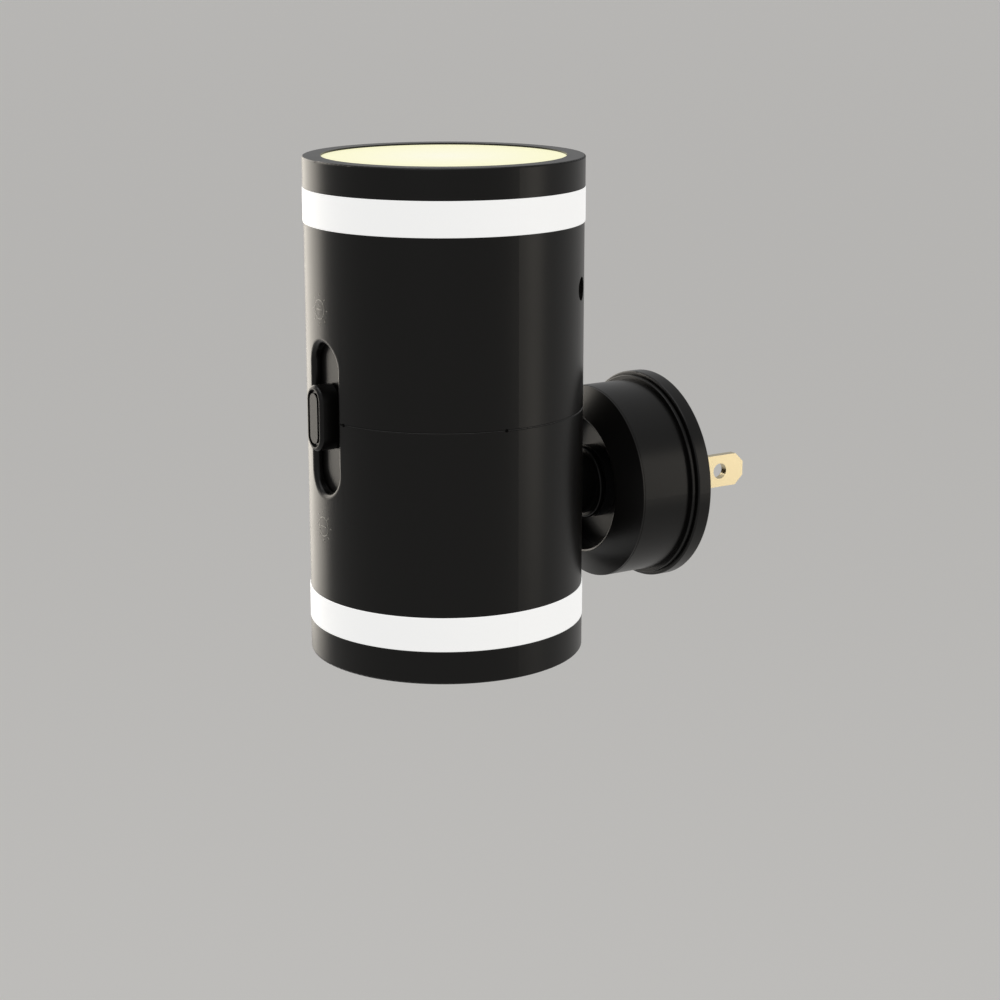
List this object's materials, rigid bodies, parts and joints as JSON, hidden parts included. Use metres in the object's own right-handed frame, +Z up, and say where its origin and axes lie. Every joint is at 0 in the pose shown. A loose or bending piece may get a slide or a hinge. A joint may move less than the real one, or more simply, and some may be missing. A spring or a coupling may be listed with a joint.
{
  "type": "plug in night light",
  "caption": "Plug-in night light: upright cylindrical head with glowing ends and bands, a brightness slider, on a swivel neck and round plug base.",
  "frame": {"origin": "centre of the base's back face, on the plug axis", "axes": "+Z up, +Y into the wall along the blades, -Y towards the room (the slider faces it), +X to the right when facing the wall"},
  "size_m": [0.0512, 0.0913, 0.0917],
  "materials": {
    "black_housing": "satin",
    "black_knob": "satin",
    "black_inner": "matte",
    "light_diffuser": "frosted",
    "warm_lens": "frosted",
    "white_reflector": "gloss",
    "white_board": "satin",
    "emitter": "gloss",
    "green_board": "gloss",
    "screw_steel": "brushed",
    "plated_blade": "bright",
    "acetal": "matte",
    "capacitor_sleeve": "gloss",
    "film_capacitor": "gloss",
    "ferrite": "matte",
    "chip_black": "matte",
    "fuse_body": "gloss",
    "potentiometer_steel": "satin",
    "sensor_glass": "gloss",
    "sensor_body": "matte",
    "lead_insulation": "matte"
  },
  "bodies": {
    "base": {"base_housing": "black_housing", "base_front_ring": "black_housing", "base_rear_cover": "black_housing", "blade_line": "plated_blade", "blade_neutral": "plated_blade", "blade_carrier": "black_inner", "base_screws": "screw_steel", "neck_bush": "acetal", "friction_washer": "screw_steel"},
    "head": {"lower_housing": "black_housing", "upper_housing": "black_housing", "lower_bezel": "black_housing", "lower_lens": "warm_lens", "lower_reflector": "white_reflector", "lower_light_band": "light_diffuser", "upper_bezel": "black_housing", "upper_lens": "warm_lens", "upper_reflector": "white_reflector", "upper_light_band": "light_diffuser", "lower_led_board": "white_board", "lower_leds": "emitter", "lower_board_screws": "screw_steel", "upper_led_board": "white_board", "upper_leds": "emitter", "upper_board_screws": "screw_steel", "control_board": "green_board", "control_board_screws": "screw_steel", "filter_capacitor": "capacitor_sleeve", "inductor": "ferrite", "line_capacitor": "film_capacitor", "bridge_rectifier": "chip_black", "driver_chip": "chip_black", "line_fuse": "fuse_body", "slide_potentiometer": "potentiometer_steel", "sensor_window": "sensor_glass", "light_sensor": "sensor_body", "neck_stem": "black_housing", "neck_nut": "screw_steel", "stop_ring": "black_inner", "neck_clip": "screw_steel", "neck_leads": "lead_insulation"},
    "slider": {"slider_knob": "black_knob", "slider_shutter": "black_knob", "slide_pot_lever": "black_inner"}
  },
  "joints": [
    {"name": "head_swivel", "type": "hinge", "parent": "base", "child": "head", "pos_m": [0, -0.013, 0], "axis": [0, -1, 0], "range_deg": [-160, 160]},
    {"name": "brightness_slide", "type": "slide", "parent": "head", "child": "slider", "axis": [0, 0, 1], "range_m": [-0.0079, 0.0071]}
  ]
}
